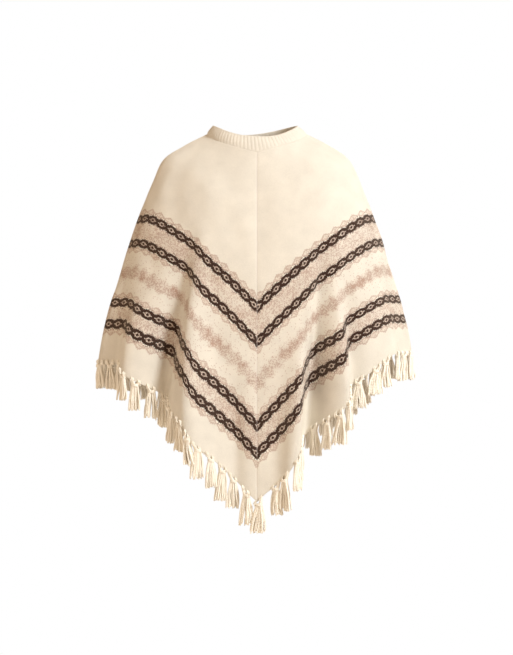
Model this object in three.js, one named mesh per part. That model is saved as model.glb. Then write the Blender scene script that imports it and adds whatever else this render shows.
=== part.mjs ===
import * as THREE from "three";

// Knitted poncho sweater in its worn form. Two knitted panels meet in a mitre down the centre front
// and the centre back, a ribbed band finishes the neck and a yarn fringe hangs from the pointed hem.
// Millimetres, +Z up, the front towards -Y. Left and right are the wearer's, so left is +X.
// The origin is the middle of the neck at the level of the shoulders.

// Cloth
const WALL = 2.6;
const SEAM_GAP = 0.3;

// Grid of a panel
const PANEL_COLUMNS = 60;
const PANEL_ROWS = 15;

// Neckband
const RIB_COUNT = 80;
const RIB_HEIGHT = 1.1;
const NECKBAND_ROWS = 2;
const NECKBAND_BULGE = 1.5;
const RIM = { side: 96, sideZ: 28, front: 78, frontZ: -3, back: 66, backZ: 16, slant: 10 };
const RIM_SHIFT = -4;

// Fringe
const STRIP_HEIGHT = 6;
const TASSEL_PITCH = 38;
const TASSEL_ROOT = 14;
const LOCKS_PER_TASSEL = 4;
const LOCK_LENGTH = 70;
const LOCK_LENGTH_SPREAD = 5;
const LOCK_TIP_SPACING = 6.6;
const LOCK_TIP_WIDTH = 5.6;
const LOCK_TIP_DEPTH = 8;
const LOCK_SPREAD_GAIN = 1.5;

// Knit rows of the panels, at equal steps from the neck seam (t 0) to the hem (t 1). side and sideZ
// follow the arm, front and frontZ the centre front, back and backZ the centre back. A row drops from
// the arm to the centre within so many degrees of it, left and right, the more suddenly the larger
// its bend.
const SECTIONS = [
  { side: 112, sideZ: 11, front: 88, frontZ: -38, back: 74, backZ: -10, bend: 1.0, left: 90, right: 90 },
  { side: 165, sideZ: -17, front: 104, frontZ: -118, back: 95, backZ: -80, bend: 1.35, left: 84, right: 82 },
  { side: 211, sideZ: -50, front: 118, frontZ: -196, back: 114, backZ: -152, bend: 1.6, left: 77, right: 74 },
  { side: 237, sideZ: -104, front: 129, frontZ: -272, back: 127, backZ: -224, bend: 1.7, left: 73, right: 69 },
  { side: 259, sideZ: -159, front: 138, frontZ: -348, back: 137, backZ: -297, bend: 1.7, left: 72, right: 69 },
  { side: 280, sideZ: -213, front: 145, frontZ: -423, back: 145, backZ: -370, bend: 1.7, left: 72, right: 68 },
  { side: 297, sideZ: -267, front: 152, frontZ: -496, back: 152, backZ: -443, bend: 1.7, left: 72, right: 69 },
  { side: 314, sideZ: -321, front: 161, frontZ: -570, back: 159, backZ: -516, bend: 1.65, left: 71, right: 68 },
  { side: 330, sideZ: -375, front: 172, frontZ: -645, back: 167, backZ: -589, bend: 1.6, left: 71, right: 69 },
  { side: 344, sideZ: -436, front: 185, frontZ: -720, back: 177, backZ: -662, bend: 1.5, left: 71, right: 70 },
  { side: 355, sideZ: -502, front: 200, frontZ: -797, back: 188, backZ: -735, bend: 1.3, left: 71, right: 70 },
];
// Over the left arm the hem hangs higher than over the right, and a little closer in.
const LEFT_LIFT = 20;
const LIFT_POWER = 4;
const LEFT_IN = 10;

// Folds that hang down the cloth. at is the angle round the body at the hem, 0 at the centre front and
// positive to the left, out the way that the cloth stands out or in there, width its half width in
// degrees, from the row where it starts and lean how far the fold leans over towards its top.
const FOLDS = [
  { at: -8, out: -16, width: 4.2, from: 0.6, lean: 0 },
  { at: -22.3, out: 30, width: 6, from: 0.24, lean: 9 },
  { at: -40, out: -46, width: 5.6, from: 0.3, lean: -14 },
  { at: -50, out: 20, width: 7, from: 0.6, lean: 0 },
  { at: -63, out: -9, width: 7, from: 0.55, lean: 0 },
  { at: -76, out: 8, width: 7, from: 0.45, lean: 0 },
  { at: -98, out: -12, width: 8, from: 0.4, lean: 0 },
  { at: -116, out: 16, width: 8, from: 0.35, lean: 2 },
  { at: -133, out: -20, width: 8, from: 0.4, lean: 2 },
  { at: -149, out: 20, width: 7, from: 0.45, lean: 0 },
  { at: -163, out: -12, width: 6, from: 0.5, lean: 0 },
  { at: 12, out: 23, width: 5, from: 0.48, lean: 18 },
  { at: 22, out: -54, width: 4.4, from: 0.34, lean: 18 },
  { at: 31.5, out: 28, width: 5, from: 0.5, lean: 6 },
  { at: 38.5, out: -22, width: 4.2, from: 0.5, lean: 4 },
  { at: 56, out: 5, width: 8, from: 0.5, lean: 0 },
  { at: 70, out: -9, width: 6, from: 0.5, lean: 0 },
  { at: 103, out: 14, width: 8, from: 0.4, lean: 0 },
  { at: 121, out: -18, width: 8, from: 0.35, lean: -2 },
  { at: 138, out: 20, width: 8, from: 0.4, lean: -2 },
  { at: 154, out: -18, width: 7, from: 0.45, lean: 0 },
  { at: 167, out: 8, width: 5, from: 0.5, lean: 0 },
];

// Flanks of folds, where some degrees of a row are hidden, so that the rows step down across them.
// Where hidden is below 0, the rows run flatter instead.
const TUCKS = [
  { at: -12, hidden: 3, width: 3, from: 0.85, lean: 0 },
  { at: -23.2, hidden: 7, width: 1.2, from: 0.1, lean: 5 },
  { at: -25.5, hidden: -3, width: 2, from: 0.85, lean: 0 },
  { at: -31, hidden: -2, width: 3, from: 0.5, lean: 4 },
  { at: -43, hidden: 4, width: 3, from: 0.6, lean: 0 },
  { at: -141, hidden: 4, width: 3, from: 0.3, lean: 2 },
  { at: 13.5, hidden: 4.5, width: 2.8, from: 0.3, lean: 19 },
  { at: 27, hidden: 4, width: 2.5, from: 0.5, lean: 12 },
  { at: 37, hidden: 2.4, width: 2.2, from: 0.5, lean: 5 },
  { at: 146, hidden: 4, width: 3, from: 0.3, lean: -2 },
];

// Steps between the neighbouring points that give the cloth's slope, in degrees and in rows.
const ANGLE_STEP = 0.6;
const ROW_STEP = 0.004;

// Steps along a quarter of the hem when its length is measured.
const HEM_STEPS = 900;

const CREAM = 0xf3e4cc;
const FRINGE_CREAM = 0xf0e2cb;

const knit = () => new THREE.MeshStandardMaterial({ color: CREAM, roughness: 0.92, metalness: 0 });
const yarn = () => new THREE.MeshStandardMaterial({ color: FRINGE_CREAM, roughness: 0.95, metalness: 0 });

const radians = (degrees) => (degrees * Math.PI) / 180;
const lerp = (from, to, share) => from + (to - from) * share;

function smoothstep(value) {
  const share = Math.min(Math.max(value, 0), 1);
  return share * share * (3 - 2 * share);
}

// Smooth value of one column of the sections at row t.
function sectionValue(column, t) {
  const last = SECTIONS.length - 1;
  const place = Math.min(Math.max(t, 0), 1) * last;
  const index = Math.min(Math.floor(place), last - 1);
  const share = place - index;
  const value = (row) => SECTIONS[Math.min(Math.max(row, 0), last)][column];
  const start = value(index);
  const end = value(index + 1);
  const startSlope = index === 0 ? end - start : (end - value(index - 1)) / 2;
  const endSlope = index === last - 1 ? end - start : (value(index + 2) - start) / 2;
  const square = share * share;
  const cube = square * share;
  return (
    start * (2 * cube - 3 * square + 1) +
    startSlope * (cube - 2 * square + share) +
    end * (3 * square - 2 * cube) +
    endSlope * (cube - square)
  );
}

function sectionAt(t) {
  return Object.fromEntries(Object.keys(SECTIONS[0]).map((column) => [column, sectionValue(column, t)]));
}

// How far a fold has grown at row t, and where it lies there.
const growth = (fold, t) => smoothstep((t - fold.from) / (1 - fold.from));
const foldMiddle = (fold, t) => fold.at + Math.sign(fold.at) * fold.lean * (1 - t);

// How far the folds push the cloth out at an angle from -180 to 180 degrees and a row.
function foldOut(angle, t) {
  let out = 0;
  for (const fold of FOLDS) {
    const turn = ((angle - foldMiddle(fold, t) + 540) % 360) - 180;
    out += fold.out * Math.exp(-((turn / fold.width) ** 2)) * growth(fold, t);
  }
  return out;
}

// Degrees of a row that lie hidden in the tucks between the centre and an angle.
function hiddenTurn(angle, t) {
  let hidden = 0;
  for (const tuck of TUCKS) {
    const middle = foldMiddle(tuck, t);
    const isFront = Math.abs(middle) <= 90;
    const isSameQuarter = angle * middle > 0 && Math.abs(angle) <= 90 === isFront;
    const past = (Math.abs(angle) - Math.abs(middle)) * (isFront ? 1 : -1);
    hidden += isSameQuarter ? (tuck.hidden * growth(tuck, t)) / (1 + Math.exp(-past / tuck.width)) : 0;
  }
  return hidden;
}

// Point of a closed row with the given section, pushed out by out, with hidden degrees in its tucks.
function rowPoint(section, angle, out, hidden) {
  const turn = Math.abs(angle);
  const isFront = turn <= 90;
  const depth = isFront ? section.front : section.back;
  const centreZ = isFront ? section.frontZ : section.backZ;
  const fromCentre = (isFront ? turn : 180 - turn) + hidden;
  const reach = angle > 0 ? section.left : section.right;
  const drop = Math.max(1 - fromCentre / reach, 0) ** section.bend;
  const sine = Math.sin(radians(angle));
  const cosine = Math.cos(radians(angle));
  return new THREE.Vector3(
    (section.side + out) * sine,
    -(depth + out) * cosine,
    lerp(section.sideZ, centreZ, drop),
  );
}

// Outer face of the cloth.
function clothPoint(angle, t) {
  const section = sectionAt(t);
  if (angle > 0) {
    section.side -= LEFT_IN * t;
    section.sideZ += LEFT_LIFT * t ** LIFT_POWER;
  }
  return rowPoint(section, angle, foldOut(angle, t), hiddenTurn(angle, t));
}

// Direction out of the cloth. On the mitre it keeps to the middle plane, so that both panels end there.
function clothNormal(angle, t) {
  const rowLow = Math.max(t - ROW_STEP, 0);
  const rowHigh = Math.min(t + ROW_STEP, 1);
  const along = clothPoint(angle + ANGLE_STEP, t).sub(clothPoint(angle - ANGLE_STEP, t));
  const down = clothPoint(angle, rowHigh).sub(clothPoint(angle, rowLow));
  const normal = along.cross(down);
  const isMitre = angle === 0 || Math.abs(angle) === 180;
  if (isMitre) {
    normal.x = 0;
  }
  normal.normalize();
  const outward = new THREE.Vector3(Math.sin(radians(angle)), -Math.cos(radians(angle)), 0);
  return normal.dot(outward) < 0 ? normal.negate() : normal;
}

// Closed body made from shared points and four-sided faces.
class Body {
  constructor() {
    this.positions = [];
    this.triangles = [];
  }

  point(vector) {
    this.positions.push(vector.x, vector.y, vector.z);
    return this.positions.length / 3 - 1;
  }

  quad(a, b, c, d) {
    this.triangles.push(a, b, c, a, c, d);
  }

  mesh(name, material) {
    const geometry = new THREE.BufferGeometry();
    geometry.setAttribute("position", new THREE.Float32BufferAttribute(this.positions, 3));
    geometry.setIndex(this.signedVolume() < 0 ? this.triangles.toReversed() : this.triangles);
    geometry.computeVertexNormals();
    const result = new THREE.Mesh(geometry, material);
    result.name = name;
    return result;
  }

  signedVolume() {
    const corner = (index) => new THREE.Vector3().fromArray(this.positions, 3 * index);
    let volume = 0;
    for (let i = 0; i < this.triangles.length; i += 3) {
      const [a, b, c] = this.triangles.slice(i, i + 3).map(corner);
      volume += a.dot(b.cross(c)) / 6;
    }
    return volume;
  }
}

// Wall between two grids of points, outer and inner, closed round its edges.
function wall(body, outer, inner, isRing) {
  const columns = outer.length;
  const rows = outer[0].length - 1;
  const spans = isRing ? columns : columns - 1;
  for (let i = 0; i < spans; i += 1) {
    const next = (i + 1) % columns;
    for (let j = 0; j < rows; j += 1) {
      body.quad(outer[i][j], outer[i][j + 1], outer[next][j + 1], outer[next][j]);
      body.quad(inner[next][j], inner[next][j + 1], inner[i][j + 1], inner[i][j]);
    }
    body.quad(outer[next][0], inner[next][0], inner[i][0], outer[i][0]);
    body.quad(outer[i][rows], inner[i][rows], inner[next][rows], outer[next][rows]);
  }
  if (!isRing) {
    const end = columns - 1;
    for (let j = 0; j < rows; j += 1) {
      body.quad(outer[0][j], inner[0][j], inner[0][j + 1], outer[0][j + 1]);
      body.quad(outer[end][j + 1], inner[end][j + 1], inner[end][j], outer[end][j]);
    }
  }
}

// Outer and inner point of the cloth, kept half a seam gap off the middle plane.
function clothPair(side, turn, t) {
  const outer = clothPoint(side * turn, t);
  const inner = outer.clone().addScaledVector(clothNormal(side * turn, t), -WALL);
  for (const point of [outer, inner]) {
    point.x += (side * SEAM_GAP) / 2;
  }
  return { outer, inner };
}

// Point pair on the flat facets between the columns of a panel, so that an edge follows the panel's.
function facetPair(side, turn, t) {
  const place = (turn * PANEL_COLUMNS) / 180;
  const index = Math.min(Math.floor(place), PANEL_COLUMNS - 1);
  const start = clothPair(side, (180 * index) / PANEL_COLUMNS, t);
  const end = clothPair(side, (180 * (index + 1)) / PANEL_COLUMNS, t);
  return {
    outer: start.outer.lerp(end.outer, place - index),
    inner: start.inner.lerp(end.inner, place - index),
  };
}

// Length of the cloth from the neck over the shoulder to the hem, and where its edge pieces part.
const SHOULDER_ROW = 0.2;
const SHOULDER = clothPoint(90, SHOULDER_ROW);
const ROW_LENGTH = SHOULDER.distanceTo(clothPoint(90, 0)) + SHOULDER.distanceTo(clothPoint(90, 1));
const STRIP_TOP = 1 - STRIP_HEIGHT / ROW_LENGTH;
const PANEL_END = STRIP_TOP - SEAM_GAP / ROW_LENGTH;

function panel(name, side) {
  const body = new Body();
  const outer = [];
  const inner = [];
  for (let i = 0; i <= PANEL_COLUMNS; i += 1) {
    const turn = (180 * i) / PANEL_COLUMNS;
    const pairs = [];
    for (let j = 0; j <= PANEL_ROWS; j += 1) {
      pairs.push(clothPair(side, turn, (PANEL_END * j) / PANEL_ROWS));
    }
    outer.push(pairs.map((pair) => body.point(pair.outer)));
    inner.push(pairs.map((pair) => body.point(pair.inner)));
  }
  wall(body, outer, inner, false);
  return body.mesh(name, knit());
}

// Upper edge of the neckband, a smooth loop that dips at the front. Over the left shoulder it lies a
// little lower in front and higher behind.
function rimPoint(angle) {
  const isFront = Math.abs(angle) <= 90;
  const sine = Math.sin(radians(angle));
  const cosine = Math.cos(radians(angle));
  const tilt = isFront ? -Math.max(sine, 0) : sine;
  return new THREE.Vector3(
    RIM.side * sine + RIM_SHIFT,
    -(isFront ? RIM.front : RIM.back) * cosine,
    lerp(RIM.sideZ, isFront ? RIM.frontZ : RIM.backZ, cosine ** 2) + RIM.slant * tilt * Math.abs(cosine),
  );
}

// Ribbed band that stands on the neck seam. Its ribs are raised over a plain inner face.
function neckband(name) {
  const body = new Body();
  const outer = [];
  const inner = [];
  const seam = sectionAt(0);
  const columns = 2 * RIB_COUNT;
  for (let i = 0; i < columns; i += 1) {
    const angle = (360 * i) / columns - 180;
    const rib = i % 2 === 0 ? RIB_HEIGHT : 0;
    const bottom = rowPoint(seam, angle, 0, 0);
    bottom.z += SEAM_GAP;
    const top = rimPoint(angle);
    const out = new THREE.Vector3(Math.sin(radians(angle)), -Math.cos(radians(angle)), 0);
    outer.push([]);
    inner.push([]);
    for (let j = 0; j <= NECKBAND_ROWS; j += 1) {
      const share = j / NECKBAND_ROWS;
      const bulge = NECKBAND_BULGE * Math.sin(Math.PI * share);
      const base = bottom.clone().lerp(top, share).addScaledVector(out, bulge);
      outer[i].push(body.point(base.clone().addScaledVector(out, rib)));
      inner[i].push(body.point(base.clone().addScaledVector(out, -WALL)));
    }
  }
  wall(body, outer, inner, true);
  return body.mesh(name, knit());
}

// Angle round the body at a distance along a quarter of the hem, measured from its centre.
function hemTable(side, isFront) {
  const table = [{ turn: isFront ? 0 : 180, length: 0 }];
  let last = facetPair(side, table[0].turn, 1).outer;
  for (let i = 1; i <= HEM_STEPS; i += 1) {
    const fromCentre = (90 * i) / HEM_STEPS;
    const turn = isFront ? fromCentre : 180 - fromCentre;
    const point = facetPair(side, turn, 1).outer;
    table.push({ turn, length: table[i - 1].length + point.distanceTo(last) });
    last = point;
  }
  return table;
}

function turnAtLength(table, length) {
  const index = Math.max(table.findIndex((entry) => entry.length >= length), 1);
  const before = table[index - 1];
  const after = table[index];
  return lerp(before.turn, after.turn, (length - before.length) / (after.length - before.length));
}

// Edges of the lock roots along a quarter of the hem, with its ends.
function lockEdges(table, hemLength, tassels) {
  const pitch = hemLength / tassels;
  const edges = [{ length: 0, tassel: -1 }];
  for (let k = 0; k < tassels; k += 1) {
    const start = (k + 0.5) * pitch - TASSEL_ROOT / 2;
    for (let lock = 0; lock <= LOCKS_PER_TASSEL; lock += 1) {
      const isLast = lock === LOCKS_PER_TASSEL;
      edges.push({ length: start + (TASSEL_ROOT * lock) / LOCKS_PER_TASSEL, tassel: isLast ? -1 : k, lock });
    }
  }
  edges.push({ length: hemLength, tassel: -1 });
  return edges.map((edge) => ({ ...edge, turn: turnAtLength(table, edge.length) }));
}

// Face between two lines of points that are not opposite each other.
function zip(body, upper, lower, isOutward) {
  const add = (a, b, c) => body.triangles.push(...(isOutward ? [a, b, c] : [a, c, b]));
  const fromStart = (point) => (point ? Math.abs(point.turn - upper[0].turn) : Infinity);
  let i = 0;
  let j = 0;
  while (i < upper.length - 1 || j < lower.length - 1) {
    if (fromStart(lower[j + 1]) <= fromStart(upper[i + 1])) {
      add(upper[i].index, lower[j].index, lower[j + 1].index);
      j += 1;
    } else {
      add(upper[i].index, lower[j].index, upper[i + 1].index);
      i += 1;
    }
  }
}

// Fringe of a quarter of the hem: a narrow strip of the hem's edge with its locks hanging from it.
// The strip's upper edge follows the columns of the panel above it.
function fringe(name, side, isFront) {
  const body = new Body();
  const table = hemTable(side, isFront);
  const hemLength = table.at(-1).length;
  const tassels = Math.round(hemLength / TASSEL_PITCH);
  const edges = lockEdges(table, hemLength, tassels);
  const endTurn = isFront ? 90 : 90 + (SEAM_GAP / SECTIONS.at(-1).side / Math.PI) * 180;
  edges.at(-1).turn = endTurn;

  const columns = [];
  for (let i = 0; i <= PANEL_COLUMNS / 2; i += 1) {
    const turn = (180 * i) / PANEL_COLUMNS;
    columns.push(isFront ? turn : 180 - turn);
  }
  columns[columns.length - 1] = endTurn;
  const line = (turns, t, face) =>
    turns.map((turn) => ({ turn, index: body.point(facetPair(side, turn, t)[face]) }));
  const turns = edges.map((edge) => edge.turn);
  const upperOuter = line(columns, STRIP_TOP, "outer");
  const upperInner = line(columns, STRIP_TOP, "inner");
  const lowerOuter = line(turns, 1, "outer");
  const lowerInner = line(turns, 1, "inner");

  zip(body, upperOuter, lowerOuter, true);
  zip(body, upperInner, lowerInner, false);
  const face = (...points) => body.quad(...points.map((point) => point.index));
  for (let i = 0; i < upperOuter.length - 1; i += 1) {
    const next = i + 1;
    const top = [upperOuter[i], upperOuter[next], upperInner[next], upperInner[i]];
    face(...(isFront ? top : [...top.slice(1), top[0]]));
  }
  for (let i = 0; i < edges.length - 1; i += 1) {
    const next = i + 1;
    const root = [lowerOuter[i], lowerInner[i], lowerInner[next], lowerOuter[next]];
    if (edges[i].tassel < 0) {
      face(...root);
    } else {
      addLock(body, root, lockTip(side, table, edges[i], hemLength / tassels));
    }
  }
  face(upperOuter[0], upperInner[0], lowerInner[0], lowerOuter[0]);
  face(lowerOuter.at(-1), lowerInner.at(-1), upperInner.at(-1), upperOuter.at(-1));
  return body.mesh(name, yarn());
}

// Four corners of a lock's tip, straight below the knot and spread along the hem.
function lockTip(side, table, edge, pitch) {
  const turn = turnAtLength(table, (edge.tassel + 0.5) * pitch);
  const knot = facetPair(side, turn, 1);
  const centre = knot.outer.clone().lerp(knot.inner, 0.5);
  const ahead = facetPair(side, turnAtLength(table, (edge.tassel + 0.5) * pitch + 1), 1).outer;
  const along = ahead.sub(knot.outer).normalize().setZ(0);
  const spread = Math.min(along.length() * LOCK_SPREAD_GAIN, 1);
  along.normalize();
  const out = new THREE.Vector3(along.y, -along.x, 0);
  const place = edge.lock - (LOCKS_PER_TASSEL - 1) / 2;
  const unevenness = Math.sin(7 * edge.tassel + 3 * edge.lock + 2 * side);
  centre.z -= LOCK_LENGTH + LOCK_LENGTH_SPREAD * unevenness;
  centre.addScaledVector(along, place * spread * LOCK_TIP_SPACING);
  const corner = (acrossSign, outSign) =>
    centre
      .clone()
      .addScaledVector(along, (acrossSign * spread * LOCK_TIP_WIDTH) / 2)
      .addScaledVector(out, (outSign * LOCK_TIP_DEPTH) / 2);
  const outerSign = out.dot(clothNormal(side * turn, 1)) > 0 ? 1 : -1;
  return [corner(-1, outerSign), corner(-1, -outerSign), corner(1, -outerSign), corner(1, outerSign)];
}

function addLock(body, root, tipPoints) {
  const tip = tipPoints.map((point) => body.point(point));
  for (let i = 0; i < 4; i += 1) {
    const next = (i + 1) % 4;
    body.quad(root[next].index, tip[next], tip[i], root[i].index);
  }
  body.quad(tip[0], tip[1], tip[2], tip[3]);
}

const poncho = new THREE.Group();
poncho.add(
  panel("panel_left", 1),
  panel("panel_right", -1),
  neckband("neckband"),
  fringe("fringe_front_left", 1, true),
  fringe("fringe_front_right", -1, true),
  fringe("fringe_back_left", 1, false),
  fringe("fringe_back_right", -1, false),
);

export default poncho;
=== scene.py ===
import math
from collections import namedtuple

import bpy
import numpy as np
from bpy.props import FloatProperty, FloatVectorProperty, IntProperty, PointerProperty
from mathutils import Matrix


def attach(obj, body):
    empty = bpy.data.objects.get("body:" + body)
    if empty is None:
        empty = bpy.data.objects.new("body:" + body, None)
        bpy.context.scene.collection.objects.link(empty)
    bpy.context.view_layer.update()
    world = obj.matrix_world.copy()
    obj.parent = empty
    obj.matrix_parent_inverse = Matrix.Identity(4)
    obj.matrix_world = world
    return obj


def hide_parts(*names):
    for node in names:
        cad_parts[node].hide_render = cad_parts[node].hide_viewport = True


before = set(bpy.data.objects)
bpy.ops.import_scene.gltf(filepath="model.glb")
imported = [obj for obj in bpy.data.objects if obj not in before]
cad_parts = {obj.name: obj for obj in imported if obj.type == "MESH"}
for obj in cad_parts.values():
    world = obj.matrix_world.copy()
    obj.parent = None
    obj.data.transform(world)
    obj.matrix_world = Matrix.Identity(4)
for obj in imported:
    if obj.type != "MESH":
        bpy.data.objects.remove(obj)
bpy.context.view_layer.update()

# Knitted poncho sweater in its worn form. The form is worked out in millimetres from the same tables
# as the solids, and every mesh is made in metres. Left and right are the wearer's, so left is +X, and
# the front is towards -Y.

bl_info = {
    "name": "Knitted poncho sweater",
    "version": (1, 0, 0),
    "blender": (4, 5, 0),
    "location": "3D View > Sidebar > Poncho",
    "description": "Makes a knitted poncho sweater in its worn form, with its neckband and its fringe",
    "category": "Add Mesh",
}

MM = 0.001
LEFT = 1
RIGHT = -1


# Form of the cloth, in millimetres and degrees

# A knit row of the panels. side and side_z follow the arm, front and front_z the centre front, back
# and back_z the centre back. The row drops from the arm to the centre within so many degrees of it,
# left and right, the more suddenly the larger its bend.
Section = namedtuple("Section", "side side_z front front_z back back_z bend left right")
SECTIONS = [
    Section(112, 11, 88, -38, 74, -10, 1.0, 90, 90),
    Section(165, -17, 104, -118, 95, -80, 1.35, 84, 82),
    Section(211, -50, 118, -196, 114, -152, 1.6, 77, 74),
    Section(237, -104, 129, -272, 127, -224, 1.7, 73, 69),
    Section(259, -159, 138, -348, 137, -297, 1.7, 72, 69),
    Section(280, -213, 145, -423, 145, -370, 1.7, 72, 68),
    Section(297, -267, 152, -496, 152, -443, 1.7, 72, 69),
    Section(314, -321, 161, -570, 159, -516, 1.65, 71, 68),
    Section(330, -375, 172, -645, 167, -589, 1.6, 71, 69),
    Section(344, -436, 185, -720, 177, -662, 1.5, 71, 70),
    Section(355, -502, 200, -797, 188, -735, 1.3, 71, 70),
]
ROW_LENGTH = 600
LEFT_LIFT = 20
LIFT_POWER = 4
LEFT_IN = 10
SEAM_GAP = 0.3

# A fold that hangs down the cloth. at is its angle at the hem, 0 at the centre front and positive to
# the left, out the way that the cloth stands out or in there, start the row where it begins and lean
# how far it leans over towards its top.
Fold = namedtuple("Fold", "at out width start lean")
FOLDS = [
    Fold(-8, -16, 4.2, 0.6, 0),
    Fold(-22.3, 30, 6, 0.24, 9),
    Fold(-40, -46, 5.6, 0.3, -14),
    Fold(-50, 20, 7, 0.6, 0),
    Fold(-63, -9, 7, 0.55, 0),
    Fold(-76, 8, 7, 0.45, 0),
    Fold(-98, -12, 8, 0.4, 0),
    Fold(-116, 16, 8, 0.35, 2),
    Fold(-133, -20, 8, 0.4, 2),
    Fold(-149, 20, 7, 0.45, 0),
    Fold(-163, -12, 6, 0.5, 0),
    Fold(12, 23, 5, 0.48, 18),
    Fold(22, -54, 4.4, 0.34, 18),
    Fold(31.5, 28, 5, 0.5, 6),
    Fold(38.5, -22, 4.2, 0.5, 4),
    Fold(56, 5, 8, 0.5, 0),
    Fold(70, -9, 6, 0.5, 0),
    Fold(103, 14, 8, 0.4, 0),
    Fold(121, -18, 8, 0.35, -2),
    Fold(138, 20, 8, 0.4, -2),
    Fold(154, -18, 7, 0.45, 0),
    Fold(167, 8, 5, 0.5, 0),
]

# The flank of a fold, where some degrees of a row are hidden, so that the rows step down across it.
Tuck = namedtuple("Tuck", "at hidden width start lean")
TUCKS = [
    Tuck(-12, 3, 3, 0.85, 0),
    Tuck(-23.2, 7, 1.2, 0.1, 5),
    Tuck(-25.5, -3, 2, 0.85, 0),
    Tuck(-31, -2, 3, 0.5, 4),
    Tuck(-43, 4, 3, 0.6, 0),
    Tuck(-141, 4, 3, 0.3, 2),
    Tuck(13.5, 4.5, 2.8, 0.3, 19),
    Tuck(27, 4, 2.5, 0.5, 12),
    Tuck(37, 2.4, 2.2, 0.5, 5),
    Tuck(146, 4, 3, 0.3, -2),
]

# A soft crease between the folds, a trough where depth is below 0. It runs from one row to another
# and moves along by lean degrees on the way.
Crease = namedtuple("Crease", "at top bottom depth width lean")
CREASES = [
    Crease(-62, 0.02, 0.34, -1.6, 7, 10),
    Crease(-30, 0.1, 0.5, 3.0, 8, 6),
    Crease(-75, 0.1, 0.46, 1.8, 7, -4),
    Crease(-50, 0.1, 0.5, -3.4, 9, 4),
    Crease(-52, 0.5, 0.72, -1.6, 4, 3),
    Crease(-83, 0.5, 0.86, -2.2, 4, 2),
    Crease(-69, 0.62, 1.1, -1.8, 3, -3),
    Crease(-56, 0.78, 1.1, 1.6, 3, 0),
    Crease(-40, 0.66, 1.2, -4.5, 1.4, -1),
    Crease(20.5, 0.5, 1.3, -7.0, 3.2, -2),
    Crease(-13, 0.62, 1.1, -1.5, 2.4, -2),
    Crease(-5, 0.74, 1.1, 1.2, 2, 0),
    Crease(-107, 0.15, 0.5, -2.0, 6, -5),
    Crease(-125, 0.05, 0.4, 1.8, 7, 5),
    Crease(-158, 0.4, 0.8, -1.6, 4, -2),
    Crease(-172, 0.5, 0.9, 1.3, 3, 0),
    Crease(48, 0.04, 0.32, 1.5, 7, -6),
    Crease(64, 0.08, 0.4, -1.9, 6, -8),
    Crease(80, 0.3, 0.62, 1.6, 6, 4),
    Crease(50, 0.52, 0.8, -1.5, 3.5, -2),
    Crease(76, 0.66, 1.1, -2.0, 3.5, 2),
    Crease(63, 0.76, 1.1, 1.5, 3, -2),
    Crease(85, 0.72, 1.1, 1.6, 3, 0),
    Crease(6.5, 0.74, 1.3, -6.4, 3.6, 1),
    Crease(111, 0.1, 0.48, -2.1, 6, 4),
    Crease(129, 0.05, 0.36, 1.7, 7, -5),
    Crease(147, 0.42, 0.84, -1.5, 4, 3),
    Crease(174, 0.5, 0.95, 1.2, 3, 0),
]


def smoothstep(value):
    share = np.clip(value, 0, 1)
    return share * share * (3 - 2 * share)


def sections_at(rows):
    """The section at each row, smooth between the rows of the table."""
    table = np.array(SECTIONS, float)
    last = len(table) - 1
    place = np.clip(rows, 0, 1) * last
    index = np.minimum(place.astype(int), last - 1)
    share = (place - index)[:, None]
    start = table[index]
    end = table[index + 1]
    step = end - start
    is_first = (index == 0)[:, None]
    is_last = (index == last - 1)[:, None]
    start_slope = np.where(is_first, step, (end - table[np.maximum(index - 1, 0)]) / 2)
    end_slope = np.where(is_last, step, (table[np.minimum(index + 2, last)] - start) / 2)
    square = share**2
    cube = share**3
    values = start * (2 * cube - 3 * square + 1)
    values += start_slope * (cube - 2 * square + share)
    values += end * (3 * square - 2 * cube)
    values += end_slope * (cube - square)
    return Section(*(values[:, [column]] for column in range(values.shape[1])))


def growth(fold, rows):
    return smoothstep((rows - fold.start) / (1 - fold.start))


def fold_middle(fold, rows):
    return fold.at + math.copysign(1, fold.at) * fold.lean * (1 - rows)


def turn_between(angle, middle):
    return (angle - middle + 540) % 360 - 180


def fold_out(angle, rows):
    """How far the folds push the cloth out."""
    out = np.zeros(np.broadcast(angle, rows).shape)
    for fold in FOLDS:
        turn = turn_between(angle, fold_middle(fold, rows))
        out += fold.out * np.exp(-((turn / fold.width) ** 2)) * growth(fold, rows)
    return out


def hidden_turn(angle, rows, side):
    """Degrees of a row that lie hidden in the tucks between the centre and an angle."""
    hidden = np.zeros(np.broadcast(angle, rows).shape)
    turn = np.abs(angle)
    for tuck in TUCKS:
        if tuck.at * side > 0:
            middle = np.abs(fold_middle(tuck, rows))
            is_front = middle <= 90
            past = (turn - middle) * np.where(is_front, 1, -1)
            share = growth(tuck, rows) / (1 + np.exp(-past / tuck.width))
            hidden += np.where((turn <= 90) == is_front, tuck.hidden * share, 0)
    return hidden


def row_points(section, angle, out, hidden, reach):
    """Points of the given rows, pushed out by out, with hidden degrees in their tucks."""
    turn = np.abs(angle)
    is_front = turn <= 90
    depth = np.where(is_front, section.front, section.back)
    centre_z = np.where(is_front, section.front_z, section.back_z)
    from_centre = np.where(is_front, turn, 180 - turn) + hidden
    drop = np.maximum(1 - from_centre / reach, 0) ** section.bend
    radians = np.radians(angle)
    x = (section.side + out) * np.sin(radians)
    y = -(depth + out) * np.cos(radians)
    z = section.side_z + (centre_z - section.side_z) * drop
    return np.stack(np.broadcast_arrays(x, y, z), axis=-1)


def cloth_grid(side, turns, rows):
    """Outer face of one panel, its rows downwards and its columns from the centre front to the back."""
    angle = side * turns[None, :]
    row = rows[:, None]
    section = sections_at(rows)
    if side == LEFT:
        section = section._replace(
            side=section.side - LEFT_IN * row,
            side_z=section.side_z + LEFT_LIFT * row**LIFT_POWER,
        )
    reach = section.left if side == LEFT else section.right
    return row_points(section, angle, fold_out(angle, row), hidden_turn(angle, row, side), reach)


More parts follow.
